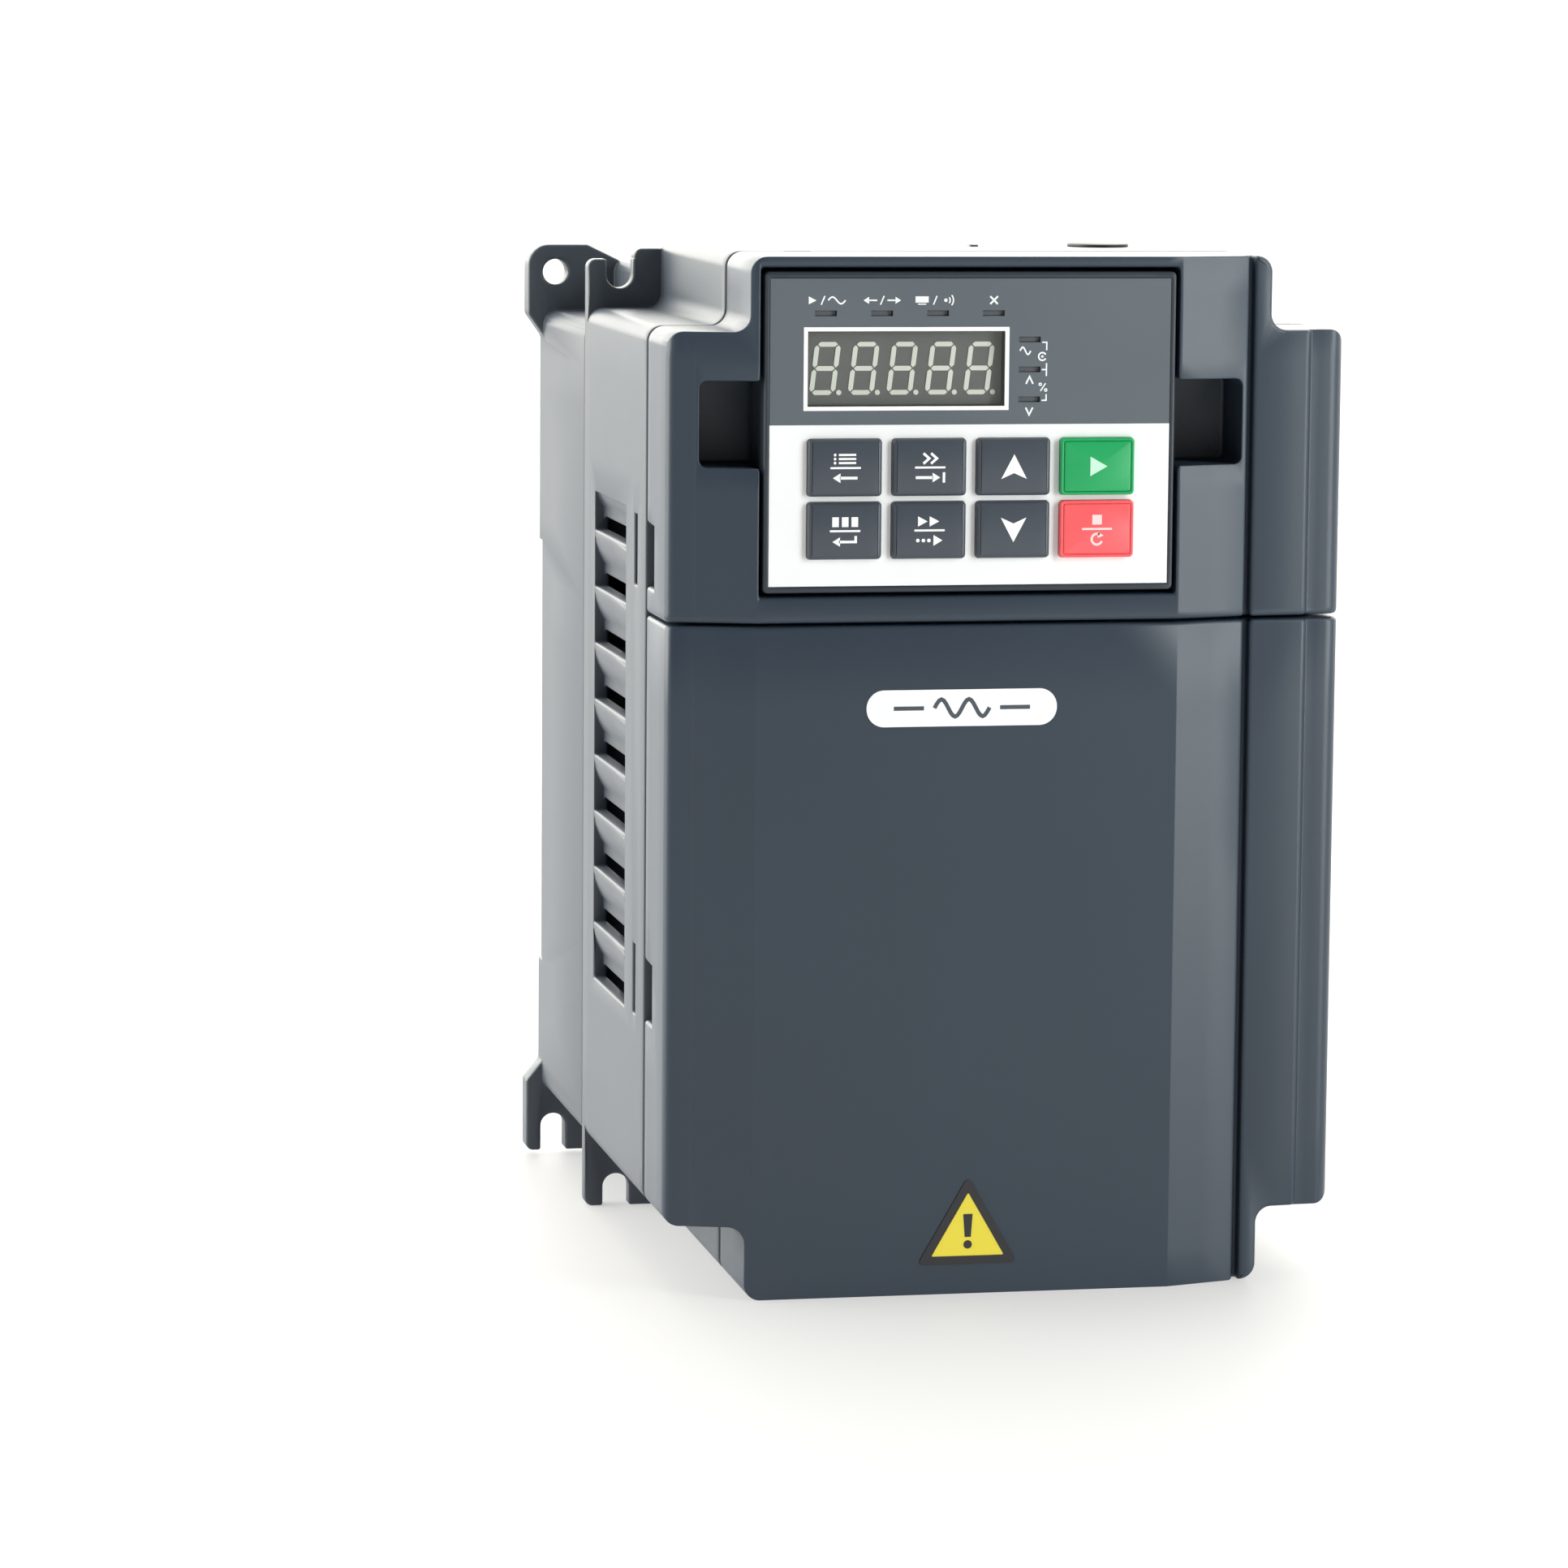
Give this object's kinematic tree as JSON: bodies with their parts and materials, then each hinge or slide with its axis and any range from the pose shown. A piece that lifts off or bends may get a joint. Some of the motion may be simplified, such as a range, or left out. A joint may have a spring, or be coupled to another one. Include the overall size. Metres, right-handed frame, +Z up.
{
  "type": "variable frequency drive",
  "caption": "Wall-mounted motor inverter with pull-off front covers, plug-in keypad with numeric display, louvred sides, rear and mid-depth fixing ears and a top fan.",
  "frame": {"origin": "on the wall plane, at the centre of the body outline", "axes": "+Z up, +X right seen from the front, +Y into the wall"},
  "size_m": [0.143, 0.1633, 0.2046],
  "materials": {
    "housing_plastic": "fine satin grain",
    "cover_plastic": "fine satin grain",
    "keypad_plastic": "satin",
    "key_plastic": "satin",
    "inner_plastic": "matte",
    "film_grey": "fine matte film",
    "film_white": "fine matte film",
    "display_white": "printed line",
    "smoked_window": "smoked clear",
    "display_body": "semi gloss",
    "segment": "unlit segment",
    "status_led": "unlit lamp",
    "green_face": "satin",
    "red_face": "satin",
    "label_yellow": "printed film",
    "badge_white": "printed film",
    "circuit_board": "solder mask",
    "component_black": "moulded",
    "component_light": "moulded",
    "terminal_green": "moulded",
    "capacitor_sleeve": "shrink sleeve",
    "copper_winding": "enamelled wire",
    "steel": "zinc plated",
    "brass": "turned",
    "aluminium": "extruded, bare",
    "rubber": "moulded",
    "cable_red": "sheath",
    "cable_grey": "flat cable",
    "fan_black": "moulded"
  },
  "bodies": {
    "root": {"rear_base": "housing_plastic", "middle_housing": "housing_plastic", "heatsink": "aluminium", "power_module": "component_black", "rectifier_bridge": "component_black", "power_board": "circuit_board", "dc_capacitors": "capacitor_sleeve", "mains_choke": "copper_winding", "current_sensors": "component_black", "relays": "component_light", "power_terminal_block": "component_black", "power_terminal_screws": "steel", "control_deck": "inner_plastic", "control_board": "circuit_board", "control_terminal_block": "terminal_green", "control_terminal_screws": "steel", "control_chips": "component_black", "board_standoffs": "brass", "board_screws": "steel", "housing_screws": "steel", "keypad_socket": "component_black", "fan_cable": "cable_red", "ribbon_cable": "cable_grey", "gland_plate": "steel", "cable_grommets": "rubber", "ground_screws": "steel", "top_plug": "rubber", "fan_frame": "fan_black"},
    "fan_rotor": {"fan_rotor": "fan_black"},
    "fan_guard": {"fan_guard": "housing_plastic"},
    "upper_cover": {"upper_cover": "cover_plastic"},
    "terminal_cover": {"terminal_cover": "cover_plastic", "hazard_label": "label_yellow", "name_badge": "badge_white"},
    "keypad": {"keypad_frame": "keypad_plastic", "keypad_back": "keypad_plastic", "keypad_screws": "steel", "film_upper": "film_grey", "film_lower": "film_white", "display_border": "display_white", "display_window": "smoked_window", "led_display": "display_body", "digit_segments": "segment", "status_leds": "status_led", "keypad_board": "circuit_board", "tact_switches": "steel", "keypad_plug": "component_black"},
    "key_program": {"key_program": "key_plastic"},
    "key_shift": {"key_shift": "key_plastic"},
    "key_up": {"key_up": "key_plastic"},
    "key_run": {"key_run": "key_plastic", "key_run_face": "green_face"},
    "key_enter": {"key_enter": "key_plastic"},
    "key_jog": {"key_jog": "key_plastic"},
    "key_down": {"key_down": "key_plastic"},
    "key_stop": {"key_stop": "key_plastic", "key_stop_face": "red_face"}
  },
  "joints": [
    {"name": "terminal_cover_pull", "type": "slide", "parent": "root", "child": "terminal_cover", "axis": [0, -1, 0], "range_m": [0, 0.06]},
    {"name": "upper_cover_pull", "type": "slide", "parent": "root", "child": "upper_cover", "axis": [0, -1, 0], "range_m": [0, 0.06]},
    {"name": "keypad_pull", "type": "slide", "parent": "upper_cover", "child": "keypad", "axis": [0, -1, 0], "range_m": [0, 0.03]},
    {"name": "fan_spin", "type": "hinge", "parent": "root", "child": "fan_rotor", "pos_m": [0, -0.03, 0.086], "axis": [0, 0, 1], "continuous": true},
    {"name": "fan_guard_lift", "type": "slide", "parent": "root", "child": "fan_guard", "axis": [0, 0, 1], "range_m": [0, 0.02]},
    {"name": "key_program_press", "type": "slide", "parent": "keypad", "child": "key_program", "axis": [0, 1, 0], "range_m": [0, 0.0006], "stiffness_N_per_m": 900},
    {"name": "key_shift_press", "type": "slide", "parent": "keypad", "child": "key_shift", "axis": [0, 1, 0], "range_m": [0, 0.0006], "stiffness_N_per_m": 900},
    {"name": "key_up_press", "type": "slide", "parent": "keypad", "child": "key_up", "axis": [0, 1, 0], "range_m": [0, 0.0006], "stiffness_N_per_m": 900},
    {"name": "key_run_press", "type": "slide", "parent": "keypad", "child": "key_run", "axis": [0, 1, 0], "range_m": [0, 0.0006], "stiffness_N_per_m": 900},
    {"name": "key_enter_press", "type": "slide", "parent": "keypad", "child": "key_enter", "axis": [0, 1, 0], "range_m": [0, 0.0006], "stiffness_N_per_m": 900},
    {"name": "key_jog_press", "type": "slide", "parent": "keypad", "child": "key_jog", "axis": [0, 1, 0], "range_m": [0, 0.0006], "stiffness_N_per_m": 900},
    {"name": "key_down_press", "type": "slide", "parent": "keypad", "child": "key_down", "axis": [0, 1, 0], "range_m": [0, 0.0006], "stiffness_N_per_m": 900},
    {"name": "key_stop_press", "type": "slide", "parent": "keypad", "child": "key_stop", "axis": [0, 1, 0], "range_m": [0, 0.0006], "stiffness_N_per_m": 900}
  ]
}
